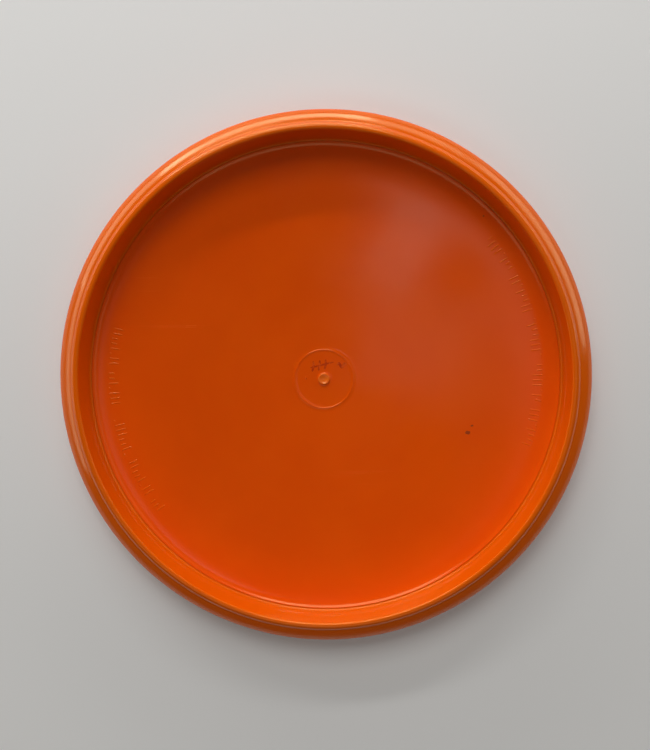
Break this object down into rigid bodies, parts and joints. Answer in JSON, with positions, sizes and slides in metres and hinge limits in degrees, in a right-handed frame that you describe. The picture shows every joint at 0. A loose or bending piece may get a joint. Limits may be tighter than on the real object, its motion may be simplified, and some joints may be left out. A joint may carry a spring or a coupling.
{
  "type": "flying disc",
  "caption": "Round throwing disc with a thin domed flight plate and a heavy hollow rim, open underneath, with a beaded lip.",
  "frame": {"origin": "middle of the flat land on the outer face of the flight plate, which the disc lies on with its underside up", "axes": "+Z along the disc's axis of turning, out of the open underside towards the lip; +X and +Y lie in the disc's plane"},
  "size_m": [0.212, 0.212, 0.0195],
  "materials": {
    "plate_plastic": "satin",
    "rim_plastic": "gloss"
  },
  "bodies": {
    "root": {"flight_plate": "plate_plastic", "rim": "rim_plastic"}
  },
  "joints": []
}
